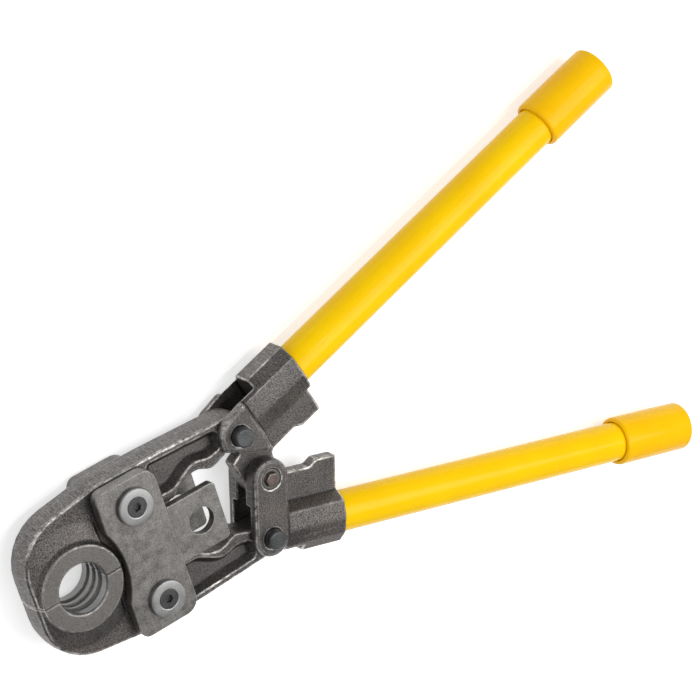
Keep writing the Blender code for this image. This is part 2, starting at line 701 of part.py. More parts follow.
def build():
    clear_scene()
    forged = (0.105, 0.095, 0.088)
    sides = (("upper", 1), ("lower", -1))
    faces = (("front", 1), ("rear", -1))
    pieces = []
    for word, side in sides:
        pieces.append(make_jaw(f"jaw_{word}", side, material(f"jaw_{word}", forged, 0.55, 0.75)))
        hard = material(f"jaw_pivot_{word}", (0.3, 0.3, 0.3), 0.35, 1)
        pieces.append(make_pivot(f"jaw_pivot_{word}", side, hard))
    for word, face in faces:
        plate = material(f"strap_{word}", (0.17, 0.16, 0.15), 0.45, 0.85)
        pieces.append(make_strap(f"strap_{word}", face, plate))
        for edge, side in sides:
            zinc = material(f"washer_{edge}_{word}", (0.42, 0.43, 0.43), 0.35, 0.95)
            pieces.append(make_washer(f"washer_{edge}_{word}", side, face, zinc))
            dark = material(f"screw_{edge}_{word}", (0.06, 0.06, 0.065), 0.4, 0.9)
            pieces.append(make_screw(f"screw_{edge}_{word}", side, face, dark))
    pieces.append(make_upper_lever(material("lever_upper", forged, 0.55, 0.75)))
    pieces.append(make_lower_lever(material("lever_lower", forged, 0.55, 0.75)))
    pieces.append(make_centre_pin(material("centre_pin", (0.10, 0.07, 0.06), 0.5, 0.8)))
    for word, face in faces:
        bush = material(f"centre_bush_{word}", (0.11, 0.10, 0.10), 0.45, 0.85)
        pieces.append(make_bush(f"centre_bush_{word}", face, bush))
    for word, side in sides:
        steel = material(f"lever_pin_{word}", (0.07, 0.075, 0.075), 0.35, 0.9)
        pieces.append(make_lever_pin(f"lever_pin_{word}", side, steel))
        yellow = material(f"tube_{word}", (0.93, 0.58, 0.004), 0.25, 0.0)
        pieces.append(make_tube(f"tube_{word}", side, yellow))
        sleeve = material(f"grip_{word}", (0.93, 0.56, 0.008), 0.3, 0.0)
        pieces.append(make_grip(f"grip_{word}", side, sleeve))
    return pieces


def stand(pieces):
    """Put the origin on the floor under the middle of the tool's box."""
    bpy.context.view_layer.update()
    corners = [item.matrix_world @ vertex.co for item in pieces for vertex in item.data.vertices]
    middle_x = (min(c.x for c in corners) + max(c.x for c in corners)) / 2
    lowest = min(c.z for c in corners)
    for item in pieces:
        item.location.x -= middle_x
        item.location.z -= lowest


stand(build())
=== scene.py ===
import json
import math

import bmesh
import bpy
import numpy as np
from mathutils import Matrix, Vector


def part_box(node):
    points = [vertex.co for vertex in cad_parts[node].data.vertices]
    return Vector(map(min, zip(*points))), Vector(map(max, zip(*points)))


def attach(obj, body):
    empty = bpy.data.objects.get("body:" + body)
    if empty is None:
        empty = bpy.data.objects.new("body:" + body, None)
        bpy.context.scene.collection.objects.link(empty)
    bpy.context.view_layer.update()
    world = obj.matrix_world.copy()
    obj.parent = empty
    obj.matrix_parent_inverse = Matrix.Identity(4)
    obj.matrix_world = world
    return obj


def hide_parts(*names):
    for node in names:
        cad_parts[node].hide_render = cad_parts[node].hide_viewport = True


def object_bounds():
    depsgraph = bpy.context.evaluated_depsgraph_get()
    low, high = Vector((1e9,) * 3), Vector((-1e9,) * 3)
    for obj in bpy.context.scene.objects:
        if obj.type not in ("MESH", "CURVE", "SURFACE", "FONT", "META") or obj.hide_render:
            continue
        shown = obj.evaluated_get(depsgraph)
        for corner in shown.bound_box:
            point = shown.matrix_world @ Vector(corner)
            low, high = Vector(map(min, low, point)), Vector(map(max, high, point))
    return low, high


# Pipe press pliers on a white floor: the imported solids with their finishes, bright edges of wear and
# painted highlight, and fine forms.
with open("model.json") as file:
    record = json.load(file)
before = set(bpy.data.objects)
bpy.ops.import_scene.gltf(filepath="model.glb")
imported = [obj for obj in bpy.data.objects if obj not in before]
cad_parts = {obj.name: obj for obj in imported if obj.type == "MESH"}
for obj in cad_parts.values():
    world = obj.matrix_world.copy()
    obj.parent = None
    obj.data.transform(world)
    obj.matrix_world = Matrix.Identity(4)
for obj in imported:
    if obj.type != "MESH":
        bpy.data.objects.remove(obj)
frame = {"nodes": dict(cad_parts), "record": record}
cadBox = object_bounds()
nodes = frame["nodes"]
scene = bpy.context.scene
scene.view_settings.view_transform = "Standard"

# Camera: place, facing and lens fitted to the photograph's perspective.
camera = {
    "place": (-0.511982, 0.530273, 0.966987),
    "right": (0.784701, -0.257547, 0.563839),
    "up": (0.440181, 0.871957, -0.214318),
    "back": (-0.436447, 0.416366, 0.797592),
    "lens": 120.54,
    "sensor": 36,
    "near": 0.05,
}
cameraData = bpy.data.cameras.new("photoCamera")
cameraData.lens = camera["lens"]
cameraData.sensor_width = camera["sensor"]
cameraData.clip_start = camera["near"]
cameraObject = bpy.data.objects.new("photoCamera", cameraData)
facing = Matrix((camera["right"], camera["up"], camera["back"])).transposed().to_4x4()
cameraObject.matrix_world = Matrix.Translation(camera["place"]) @ facing
scene.collection.objects.link(cameraObject)
scene.camera = cameraObject
print("stage: camera")


# Small helpers for node trees

def newNode(tree, kind, **values):
    item = tree.nodes.new(kind)
    for key, value in values.items():
        setattr(item, key, value)
    return item


def feed(tree, value, socket):
    # a socket is linked, anything else is set on the socket itself
    if isinstance(value, bpy.types.NodeSocket):
        tree.links.new(value, socket)
    else:
        socket.default_value = value


def grey(value):
    return (value, value, value, 1.0)


def calc(tree, operation, first, second=0.0):
    item = newNode(tree, "ShaderNodeMath", operation=operation)
    feed(tree, first, item.inputs[0])
    feed(tree, second, item.inputs[1])
    return item.outputs[0]


def spread(tree, value, low, high, toLow=0.0, toHigh=1.0):
    item = newNode(tree, "ShaderNodeMapRange")
    feed(tree, value, item.inputs["Value"])
    item.inputs["From Min"].default_value = low
    item.inputs["From Max"].default_value = high
    item.inputs["To Min"].default_value = toLow
    item.inputs["To Max"].default_value = toHigh
    return item.outputs[0]


def noise(tree, where, scale, detail=3.0, roughness=0.55):
    item = newNode(tree, "ShaderNodeTexNoise")
    item.inputs["Scale"].default_value = scale
    item.inputs["Detail"].default_value = detail
    item.inputs["Roughness"].default_value = roughness
    tree.links.new(where, item.inputs["Vector"])
    return item.outputs["Fac"]


def stretched(tree, where, scale):
    item = newNode(tree, "ShaderNodeMapping")
    item.inputs["Scale"].default_value = scale
    tree.links.new(where, item.inputs["Vector"])
    return item.outputs[0]


def mixColour(tree, factor, first, second, blend="MIX"):
    item = newNode(tree, "ShaderNodeMix", data_type="RGBA", blend_type=blend)
    feed(tree, factor, item.inputs[0])
    feed(tree, first, item.inputs[6])
    feed(tree, second, item.inputs[7])
    return item.outputs[2]


def attribute(tree, name):
    return newNode(tree, "ShaderNodeAttribute", attribute_name=name).outputs["Fac"]


def bumpOn(tree, height, strength, distance, normal=None):
    item = newNode(tree, "ShaderNodeBump")
    item.inputs["Strength"].default_value = strength
    item.inputs["Distance"].default_value = distance
    tree.links.new(height, item.inputs["Height"])
    if normal is not None:
        tree.links.new(normal, item.inputs["Normal"])
    return item.outputs["Normal"]


def newPaint(name):
    paint = bpy.data.materials.new(name)
    paint.use_nodes = True
    tree = paint.node_tree
    where = newNode(tree, "ShaderNodeTexCoord").outputs["Object"]
    return paint, tree, tree.nodes["Principled BSDF"], where


# Finishes

# the bright tone is bare steel on ground walls and on edges; on the edges it is also a painted highlight
forgingLook = {
    "darkTone": (0.058, 0.053, 0.051, 1), "lightTone": (0.118, 0.111, 0.106, 1),
    # the hollow tone is painted shade, laid into concave hollows
    "paintedShadeTone": (0.018, 0.016, 0.015, 1), "bareSteelAndHighlightTone": (0.74, 0.71, 0.68, 1),
    "machinedTone": (0.200, 0.190, 0.181, 1), "boreTone": (0.30, 0.30, 0.30, 1),
    "patchScale": 45.0, "patchRange": (0.25, 0.75), "grainScale": 1450.0, "glintScale": 2700.0,
    "rustTone": (0.140, 0.112, 0.094, 1), "rustScale": 24.0, "rustRange": (0.52, 0.74), "rustMost": 0.6,
    "paintedShadeRange": (-0.012, -0.05), "paintedShadeMost": 0.85, "wallRange": (0.55, 0.25),
    "grind": 0.24, "grindScale": (2600.0, 2600.0, 120.0), "grindRange": (0.46, 0.66),
    "wearAndHighlightAmount": 1.0, "turnedWearAndHighlight": 0.35, "wearAndHighlightRange": (0.016, 0.052), "wearAndHighlightScale": 430.0, "rubScale": 60.0,
    "rough": 0.42, "wornShine": 0.12, "boreShine": 0.20, "metallic": 0.78,
    "bump": 0.75, "glintShare": 0.6, "boreBump": 0.15, "grainDeep": 0.00025, "glintDeep": 0.0001,
}


def forgingPaint(name, look):
    # dark scaled forging: grain, patches, bright edges (worn bare steel and painted highlight), painted
    # shade in hollows, ground side walls, turned faces
    paint, tree, shader, where = newPaint(name)
    patches = noise(tree, where, look["patchScale"], 4.0, 0.6)
    grain = noise(tree, where, look["grainScale"], 3.0, 0.7)
    glint = noise(tree, where, look["glintScale"], 2.0, 0.6)
    machined = attribute(tree, "machined")
    bend = attribute(tree, "bend")
    tone = mixColour(tree, spread(tree, patches, *look["patchRange"]), look["darkTone"], look["lightTone"])
    rusty = spread(tree, noise(tree, where, look["rustScale"]), *look["rustRange"], 0.0, look["rustMost"])
    tone = mixColour(tree, rusty, tone, look["rustTone"])
    coarseSpecks = spread(tree, grain, 0.34, 0.66, 0.25, 1.85)
    fineSpecks = spread(tree, glint, 0.3, 0.7, 0.5, 1.5)
    tone = mixColour(tree, 1.0, tone, calc(tree, "MULTIPLY", coarseSpecks, fineSpecks), "MULTIPLY")
    face = newNode(tree, "ShaderNodeSeparateXYZ")
    tree.links.new(newNode(tree, "ShaderNodeNewGeometry").outputs["Normal"], face.inputs[0])
    wall = spread(tree, calc(tree, "ABSOLUTE", face.outputs["Z"]), *look["wallRange"])
    lines = noise(tree, stretched(tree, where, look["grindScale"]), 1.0, 3.0, 0.7)
    ground = calc(tree, "MULTIPLY", wall, spread(tree, lines, *look["grindRange"], 0.0, look["grind"]))
    tone = mixColour(tree, ground, tone, look["bareSteelAndHighlightTone"])
    # painted shade: concave hollows darken towards the near-black hollow tone
    paintedShade = spread(tree, bend, *look["paintedShadeRange"], 0.0, look["paintedShadeMost"])
    tone = mixColour(tree, paintedShade, tone, look["paintedShadeTone"])
    turnedGrain = spread(tree, grain, 0.3, 0.7, 0.3, 1.0)
    turnedTone = mixColour(tree, turnedGrain, look["darkTone"], look["machinedTone"])
    tone = mixColour(tree, machined, tone, turnedTone)
    bored = calc(tree, "MULTIPLY", machined, wall)
    tone = mixColour(tree, bored, tone, look["boreTone"])
    # bright broken line along convex edges: partly worn bare steel, partly a painted highlight
    broken = spread(tree, noise(tree, where, look["wearAndHighlightScale"], 4.0, 0.7), 0.36, 0.62, 0.05, 1.0)
    rubbed = spread(tree, noise(tree, where, look["rubScale"]), 0.34, 0.60, 0.25, 1.0)
    broken = calc(tree, "MULTIPLY", broken, rubbed)
    edge = spread(tree, bend, *look["wearAndHighlightRange"])
    kept = spread(tree, machined, 0.0, 1.0, look["wearAndHighlightAmount"], look["turnedWearAndHighlight"])
    wornAndHighlit = calc(tree, "MULTIPLY", calc(tree, "MULTIPLY", edge, broken), kept)
    tone = mixColour(tree, wornAndHighlit, tone, look["bareSteelAndHighlightTone"])
    feed(tree, tone, shader.inputs["Base Color"])
    rough = spread(tree, patches, 0.3, 0.7, look["rough"] - 0.07, look["rough"] + 0.09)
    rough = calc(tree, "SUBTRACT", rough, calc(tree, "MULTIPLY", wornAndHighlit, look["wornShine"]))
    rough = calc(tree, "SUBTRACT", rough, calc(tree, "MULTIPLY", bored, look["boreShine"]))
    feed(tree, rough, shader.inputs["Roughness"])
    shader.inputs["Metallic"].default_value = look["metallic"]
    smooth = spread(tree, bored, 0.0, 1.0, 1.0, look["boreBump"])
    coarse = bumpOn(tree, calc(tree, "MULTIPLY", grain, smooth), look["bump"], look["grainDeep"])
    glintBump = look["bump"] * look["glintShare"]
    fine = bumpOn(tree, calc(tree, "MULTIPLY", glint, smooth), glintBump, look["glintDeep"], coarse)
    feed(tree, fine, shader.inputs["Normal"])
    return paint


# the bright tone lines the edges: partly worn bare steel, partly a painted highlight
plateLook = {
    "darkTone": (0.108, 0.102, 0.096, 1), "lightTone": (0.215, 0.206, 0.196, 1),
    "bareSteelAndHighlightTone": (0.62, 0.60, 0.57, 1), "speckle": (0.55, 1.5), "patchScale": 190.0, "grainScale": 1700.0,
    "ringScale": 5200.0, "edgeWidth": 0.0006, "wearAndHighlightAmount": 0.9, "wearAndHighlightScale": 600.0, "rough": 0.40,
    "metallic": 0.75, "bump": 0.2, "bumpDeep": 0.0001, "ringShare": 0.8,
}
zincLook = {
    **plateLook, "darkTone": (0.235, 0.235, 0.232, 1), "lightTone": (0.32, 0.32, 0.315, 1),
    "bareSteelAndHighlightTone": (0.80, 0.80, 0.79, 1), "speckle": (0.88, 1.08), "rough": 0.38, "metallic": 0.85,
    "bump": 0.10,
}
screwLook = {
    **plateLook, "darkTone": (0.040, 0.040, 0.041, 1), "lightTone": (0.070, 0.070, 0.072, 1),
    "bareSteelAndHighlightTone": (0.25, 0.25, 0.25, 1), "wearAndHighlightAmount": 0.3, "bump": 0.10,
}
pinLook = {
    **screwLook, "darkTone": (0.046, 0.048, 0.049, 1), "lightTone": (0.082, 0.085, 0.086, 1),
    "bareSteelAndHighlightTone": (0.30, 0.31, 0.31, 1), "wearAndHighlightAmount": 0.5, "rough": 0.36,
}
brownLook = {
    **plateLook, "darkTone": (0.070, 0.052, 0.046, 1), "lightTone": (0.150, 0.115, 0.102, 1), "wearAndHighlightAmount": 0.5,
}
bushLook = {
    **plateLook, "darkTone": (0.075, 0.068, 0.064, 1), "lightTone": (0.125, 0.115, 0.108, 1), "wearAndHighlightAmount": 0.5,
}


def steelPaint(name, look):
    # machined steel: mottled tone, fine grain, turned rings where the piece carries its girth, bright edges
    # that are partly wear and partly a painted highlight
    paint, tree, shader, where = newPaint(name)
    patches = noise(tree, where, look["patchScale"], 4.0, 0.6)
    grain = noise(tree, where, look["grainScale"], 3.0, 0.65)
    tone = mixColour(tree, spread(tree, patches, 0.3, 0.7), look["darkTone"], look["lightTone"])
    tone = mixColour(tree, 1.0, tone, spread(tree, grain, 0.3, 0.7, *look["speckle"]), "MULTIPLY")
    rings = newNode(tree, "ShaderNodeTexNoise", noise_dimensions="1D")
    rings.inputs["Scale"].default_value = look["ringScale"]
    rings.inputs["Detail"].default_value = 2.0
    tree.links.new(attribute(tree, "girth"), rings.inputs["W"])
    tone = mixColour(tree, 0.5, tone, spread(tree, rings.outputs["Fac"], 0.3, 0.7, 0.7, 1.3), "MULTIPLY")
    bevel = newNode(tree, "ShaderNodeBevel", samples=6)
    bevel.inputs["Radius"].default_value = look["edgeWidth"]
    dot = newNode(tree, "ShaderNodeVectorMath", operation="DOT_PRODUCT")
    tree.links.new(bevel.outputs[0], dot.inputs[0])
    tree.links.new(newNode(tree, "ShaderNodeNewGeometry").outputs["Normal"], dot.inputs[1])
    # bright edges where the bevel turns the normal: partly wear, partly a painted highlight
    edge = spread(tree, dot.outputs["Value"], 0.995, 0.93)
    broken = spread(tree, noise(tree, where, look["wearAndHighlightScale"]), 0.32, 0.62, 0.15, 1.0)
    wornAndHighlit = calc(tree, "MULTIPLY", calc(tree, "MULTIPLY", edge, broken), look["wearAndHighlightAmount"])
    tone = mixColour(tree, wornAndHighlit, tone, look["bareSteelAndHighlightTone"])
    feed(tree, tone, shader.inputs["Base Color"])
    rough = spread(tree, patches, 0.3, 0.7, look["rough"] - 0.06, look["rough"] + 0.08)
    feed(tree, rough, shader.inputs["Roughness"])
    shader.inputs["Metallic"].default_value = look["metallic"]
    height = calc(tree, "ADD", grain, calc(tree, "MULTIPLY", rings.outputs["Fac"], look["ringShare"]))
    normal = bumpOn(tree, height, look["bump"], look["bumpDeep"], bevel.outputs[0])
    feed(tree, normal, shader.inputs["Normal"])
    return paint


tubeLook = {
    "deepTone": (0.91, 0.535, 0.0, 1), "tone": (0.940, 0.595, 0.0, 1), "toneScale": 30.0,
    "rough": 0.24, "rubScale": 190.0, "coat": 0.10, "coatRough": 0.05, "gloss": 0.08,
    "peelScale": 300.0, "peel": 0.03, "peelDeep": 0.0002,
}
gripLook = {
    **tubeLook, "deepTone": (0.90, 0.475, 0.0, 1), "tone": (0.930, 0.540, 0.0, 1),
    "rough": 0.26, "peelScale": 200.0, "peel": 0.05,
}


def coatPaint(name, look):
    # gloss yellow coat: slow change of tone, faint orange peel, rubbed patches in the gloss
    paint, tree, shader, where = newPaint(name)
    slow = spread(tree, noise(tree, where, look["toneScale"]), 0.3, 0.7)
    feed(tree, mixColour(tree, slow, look["deepTone"], look["tone"]), shader.inputs["Base Color"])
    rubbed = noise(tree, where, look["rubScale"], 4.0)
    rough = spread(tree, rubbed, 0.3, 0.7, look["rough"] - 0.05, look["rough"] + 0.07)
    feed(tree, rough, shader.inputs["Roughness"])
    shader.inputs["Coat Weight"].default_value = look["coat"]
    shader.inputs["Coat Roughness"].default_value = look["coatRough"]
    shader.inputs["Specular IOR Level"].default_value = look["gloss"]
    skin = noise(tree, where, look["peelScale"], 2.0)
    feed(tree, bumpOn(tree, skin, look["peel"], look["peelDeep"]), shader.inputs["Normal"])
    return paint


forging = forgingPaint("forging", forgingLook)
plate = steelPaint("plate", plateLook)
zinc = steelPaint("zinc", zincLook)
screwBlack = steelPaint("screwBlack", screwLook)
pinSteel = steelPaint("pinSteel", pinLook)
browned = steelPaint("browned", brownLook)
bushSteel = steelPaint("bushSteel", bushLook)
tubeCoat = coatPaint("tubeCoat", tubeLook)
gripCoat = coatPaint("gripCoat", gripLook)
print("stage: finishes")


# Mesh helpers

mergeGap = 1e-6  # points nearer than this are one
sharpAngle = 35  # edges that turn by more degrees stay sharp


def nodePoints(nodeName):
    mesh = nodes[nodeName].data
    flat = np.empty(len(mesh.vertices) * 3)
    mesh.vertices.foreach_get("co", flat)
    return np.unique(flat.reshape(-1, 3).round(7), axis=0)


def addPiece(name, mesh):
    piece = bpy.data.objects.new(name, mesh)
    scene.collection.objects.link(piece)
    return piece


def settle(piece):
    # modifiers become a plain mesh
    bpy.context.view_layer.update()
    seen = piece.evaluated_get(bpy.context.evaluated_depsgraph_get())
    mesh = bpy.data.meshes.new_from_object(seen)
    piece.modifiers.clear()
    piece.data = mesh
    mesh.name = piece.name
    return mesh


def finishPiece(piece, paint, body, slotName, *hidden):
    piece.data.materials.clear()
    piece.data.materials.append(paint)
    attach(piece, body)
    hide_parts(*hidden)


def around(values, first, second, count):
    # mean over each point's neighbours
    total = np.bincount(first, values[second], count) + np.bincount(second, values[first], count)
    return total / np.maximum(1, np.bincount(first, minlength=count) + np.bincount(second, minlength=count))


def markBend(mesh, spacing, rounds):
    # how sharply the surface bends at each point: above 0 on an edge, below 0 in a hollow
    count = len(mesh.vertices)
    place = np.empty(count * 3)
    normal = np.empty(count * 3)
    ends = np.empty(len(mesh.edges) * 2, dtype=np.int32)
    mesh.vertices.foreach_get("co", place)
    mesh.vertices.foreach_get("normal", normal)
    mesh.edges.foreach_get("vertices", ends)
    place = place.reshape(-1, 3)
    first, second = ends.reshape(-1, 2).T
    mean = np.stack([around(place[:, axis], first, second, count) for axis in range(3)], axis=1)
    bend = ((place - mean) * normal.reshape(-1, 3)).sum(axis=1) / spacing
    for _ in range(rounds):
        bend = (bend + around(bend, first, second, count)) / 2
    layer = mesh.attributes.new("bend", "FLOAT", "POINT")
    layer.data.foreach_set("value", bend)


# Forgings: the jaws and levers as softened copies of their nodes

softening = {"voxel": 0.00046, "evenRounds": 3, "evenFactor": 0.5, "bendRounds": 3, "levels": 8}
ring = {
    "noseReach": 0.0247, "faceRadius": 0.0219, "hubRadius": 0.0126, "blur": 0.0004, "crisp": 0.6,
    "splitCrisp": 0.0007, "splitReach": 0.0012, "splitGain": 1.5, "splitShift": 0.00014,
}
records = {joint["name"]: joint for joint in frame["record"]["behaviour"]["joints"]}
jawHinges = [Vector(records[f"jaw_{word}_hinge"]["pos_m"]) for word in ("upper", "lower")]
ringCentre = Vector((cadBox[0][0] + ring["noseReach"], 0.0, jawHinges[0].z))

# The levers' sockets, each in its lever's own frame. The last row is how far the cutters reach.
socket = {
    "upper": {"outer": 0.0157, "end": 0.0463}, "lower": {"outer": 0.0137, "end": 0.0453}, "toggle": 0.0311,
    "start": 0.0087, "flat": 0.0054, "shoulder": 0.0104, "shoulderDrop": 0.0060, "root": 0.01139,
    "rootAt": 0.0039, "slotHalf": 0.0083, "slotEnd": 0.0212, "bore": 0.0111, "boreSides": 48,
    "slotFrom": -0.01, "slotReach": 0.03, "boreOverlap": 0.002, "boreTo": 0.06,
}
handleTurn = math.acos(records["lever_upper_hinge"]["pos_m"][1] / socket["toggle"])


def cutWith(body, tool):
    # one exact cut, and the tool is dropped
    cut = body.modifiers.new("cut", "BOOLEAN")
    cut.operation = "DIFFERENCE"
    cut.solver = "EXACT"
    cut.object = tool
    settle(body)
    bpy.data.objects.remove(tool, do_unlink=True)


def prismAlong(name, section, low, high):
    # closed prism along X over a section of (z, y) points
    shape = bmesh.new()
    near = [shape.verts.new((low, y, z)) for z, y in section]
    far = [shape.verts.new((high, y, z)) for z, y in section]
    shape.faces.new(near)
    shape.faces.new(far)
    for n in range(len(section)):
        m = (n + 1) % len(section)
        shape.faces.new((near[n], near[m], far[m], far[n]))
    bmesh.ops.recalc_face_normals(shape, faces=shape.faces)
    mesh = bpy.data.meshes.new(name)
    shape.to_mesh(mesh)
    shape.free()
    return addPiece(name, mesh)


def socketCreases(word):
    # the socket's shoulder facets with crisp creases, cut free of the jaw's slot and the tube
    side = 1 if word == "upper" else -1
    outer = socket[word]["outer"]
    half = [(socket["root"], socket["rootAt"]), (socket["shoulder"], outer - socket["shoulderDrop"]),
            (socket["flat"], outer)]
    section = half + [(-z, y) for z, y in reversed(half)]
    crest = prismAlong("crest", [(z, side * y) for z, y in section], socket["start"], socket[word]["end"])
    slot = socket["slotHalf"]
    reach = side * socket["slotReach"]
    slotSection = [(slot, -reach), (slot, reach), (-slot, reach), (-slot, -reach)]
    cutWith(crest, prismAlong("slot", slotSection, socket["slotFrom"], socket["slotEnd"]))
    angles = [n * math.pi / (socket["boreSides"] / 2) for n in range(socket["boreSides"])]
    boreSection = [(socket["bore"] * math.cos(angle), socket["bore"] * math.sin(angle)) for angle in angles]
    boreFrom = socket["slotEnd"] - socket["boreOverlap"]
    cutWith(crest, prismAlong("bore", boreSection, boreFrom, socket["boreTo"]))
    hinge = Vector(records[f"lever_{word}_hinge"]["pos_m"])
    crest.data.transform(Matrix.Translation(hinge) @ Matrix.Rotation(side * handleTurn, 4, "Z"))
    mesh = crest.data
    bpy.data.objects.remove(crest, do_unlink=True)
    return mesh


def turnedFaces(mesh, isJaw):
    # 1 on the ring and hubs, and how freely each point may be evened out
    place = np.empty(len(mesh.vertices) * 3)
    mesh.vertices.foreach_get("co", place)
    place = place.reshape(-1, 3)
    machined = np.zeros(len(place))
    if not isJaw:
        return machined, np.ones(len(place))
    away = np.hypot(place[:, 0] - ringCentre.x, place[:, 1] - ringCentre.y)
    machined = np.clip((ring["faceRadius"] - away) / ring["blur"], 0, 1)
    for hinge in jawHinges:
        away = np.hypot(place[:, 0] - hinge.x, place[:, 1] - hinge.y)
        machined = np.maximum(machined, np.clip((ring["hubRadius"] - away) / ring["blur"], 0, 1))
    fromSplit = np.clip((np.abs(place[:, 1]) - ring["splitCrisp"]) / ring["splitCrisp"], 0, 1)
    return machined, np.minimum(1 - ring["crisp"] * machined, fromSplit)


def closeSplit(mesh):
    # the jaws meet tightly: their split faces come nearer to the centre line
    flat = np.empty(len(mesh.vertices) * 3)
    mesh.vertices.foreach_get("co", flat)
    place = flat.reshape(-1, 3)
    near = (ring["splitReach"] - np.abs(place[:, 1])) / ring["splitReach"]
    near = np.clip(near * ring["splitGain"], 0, 1)
    place[:, 1] -= np.sign(place[:, 1]) * ring["splitShift"] * near
    mesh.vertices.foreach_set("co", flat)
    mesh.update()


def softened(nodeName, pieceName):
    # a merged copy of the node, remeshed and evened out where it isn't turned, marked for its finish
    shape = bmesh.new()
    shape.from_mesh(nodes[nodeName].data)
    bmesh.ops.remove_doubles(shape, verts=shape.verts, dist=mergeGap)
    if nodeName.startswith("lever"):
        shape.from_mesh(socketCreases(nodeName.split("_")[1]))
    mesh = bpy.data.meshes.new(pieceName)
    shape.to_mesh(mesh)
    shape.free()
    piece = addPiece(pieceName, mesh)
    skin = piece.modifiers.new("skin", "REMESH")
    skin.mode = "VOXEL"
    skin.voxel_size = softening["voxel"]
    mesh = settle(piece)
    machined, loose = turnedFaces(mesh, nodeName.startswith("jaw"))
    group = piece.vertex_groups.new(name="loose")
    for level in range(softening["levels"] + 1):
        chosen = np.flatnonzero(np.round(loose * softening["levels"]) == level)
        group.add(chosen.tolist(), level / softening["levels"], "REPLACE")
    even = piece.modifiers.new("even", "SMOOTH")
    even.factor = softening["evenFactor"]
    even.iterations = softening["evenRounds"]
    even.vertex_group = "loose"
    mesh = settle(piece)
    if nodeName.startswith("jaw"):
        closeSplit(mesh)
    mesh.shade_smooth()
    markBend(mesh, softening["voxel"], softening["bendRounds"])
    layer = mesh.attributes.new("machined", "FLOAT", "POINT")
    layer.data.foreach_set("value", machined)
    return piece


forgings = {
    "jawUpper": ("jaw_upper", "jaw_upper_body"), "jawLower": ("jaw_lower", "jaw_lower_body"),
    "leverUpper": ("lever_upper", "handle_upper"), "leverLower": ("lever_lower", "handle_lower"),
}
for pieceName, (nodeName, body) in forgings.items():
    finishPiece(softened(nodeName, pieceName), forging, body, "forging", nodeName)
print("stage: forgings")


# Turned pieces: one Geometry Nodes tree sweeps a section round its axis

def turnedTree():
    tree = bpy.data.node_groups.new("turnedPiece", "GeometryNodeTree")
    face = tree.interface
    face.new_socket("Section", in_out="INPUT", socket_type="NodeSocketGeometry")
    sides = face.new_socket("Sides", in_out="INPUT", socket_type="NodeSocketInt")
    core = face.new_socket("Core Radius", in_out="INPUT", socket_type="NodeSocketFloat")
    paint = face.new_socket("Paint", in_out="INPUT", socket_type="NodeSocketMaterial")
    face.new_socket("Piece", in_out="OUTPUT", socket_type="NodeSocketGeometry")
    sides.default_value = 64
    core.default_value = 0.001
    inside = newNode(tree, "NodeGroupInput")
    circle = newNode(tree, "GeometryNodeCurvePrimitiveCircle")
    feed(tree, inside.outputs["Sides"], circle.inputs["Resolution"])
    feed(tree, inside.outputs["Core Radius"], circle.inputs["Radius"])
    upright = newNode(tree, "GeometryNodeSetCurveNormal", mode="Z_UP")
    feed(tree, circle.outputs["Curve"], upright.inputs["Curve"])
    shift = newNode(tree, "ShaderNodeCombineXYZ")
    feed(tree, calc(tree, "MULTIPLY", inside.outputs["Core Radius"], -1.0), shift.inputs["X"])
    moved = newNode(tree, "GeometryNodeSetPosition")
    feed(tree, inside.outputs["Section"], moved.inputs["Geometry"])
    feed(tree, shift.outputs[0], moved.inputs["Offset"])
    section = newNode(tree, "GeometryNodeMeshToCurve")
    feed(tree, moved.outputs["Geometry"], section.inputs["Mesh"])
    sweep = newNode(tree, "GeometryNodeCurveToMesh")
    feed(tree, upright.outputs["Curve"], sweep.inputs["Curve"])
    feed(tree, section.outputs["Curve"], sweep.inputs["Profile Curve"])
    closed = newNode(tree, "GeometryNodeMergeByDistance")
    feed(tree, sweep.outputs["Mesh"], closed.inputs["Geometry"])
    closed.inputs["Distance"].default_value = mergeGap
    whole = newNode(tree, "GeometryNodeRealizeInstances")
    feed(tree, closed.outputs["Geometry"], whole.inputs["Geometry"])
    painted = newNode(tree, "GeometryNodeSetMaterial")
    feed(tree, whole.outputs["Geometry"], painted.inputs["Geometry"])
    feed(tree, inside.outputs["Paint"], painted.inputs["Material"])
    outside = newNode(tree, "NodeGroupOutput")
    feed(tree, painted.outputs["Geometry"], outside.inputs["Piece"])
    return tree, {"sides": sides.identifier, "paint": paint.identifier}


turning, turningInputs = turnedTree()


def sectionMesh(name, points, closed):
    # the section as a chain of edges: x is the radius, y runs against the height
    mesh = bpy.data.meshes.new(name)
    edges = [(n, n + 1) for n in range(len(points) - 1)]
    if closed:
        edges.append((len(points) - 1, 0))
    mesh.from_pydata([(radius, -height, 0) for radius, height in points], edges, [])
    layer = mesh.attributes.new("girth", "FLOAT", "POINT")
    layer.data.foreach_set("value", [radius for radius, height in points])
    return mesh


def turned(name, points, paint, sides, closed=False):
    # the section swept round its axis, smooth but for its sharp edges
    piece = addPiece(name, sectionMesh(name, points, closed))
    spin = piece.modifiers.new("turning", "NODES")
    spin.node_group = turning
    spin[turningInputs["sides"]] = sides
    spin[turningInputs["paint"]] = paint
    mesh = settle(piece)
    shape = bmesh.new()
    shape.from_mesh(mesh)
    bmesh.ops.recalc_face_normals(shape, faces=shape.faces)
    shape.to_mesh(mesh)
    shape.free()
    mesh.shade_smooth()
    mesh.set_sharp_from_angle(angle=math.radians(sharpAngle))
    return piece


def quarter(radius, height, size, first, last, steps):
    # arc of a rounded edge about (radius, height)
    angles = [math.radians(first + (last - first) * n / steps) for n in range(steps + 1)]
    return [(radius + size * math.cos(a), height + size * math.sin(a)) for a in angles]


endSlice = 1e-4  # points this near to an end lie on its face


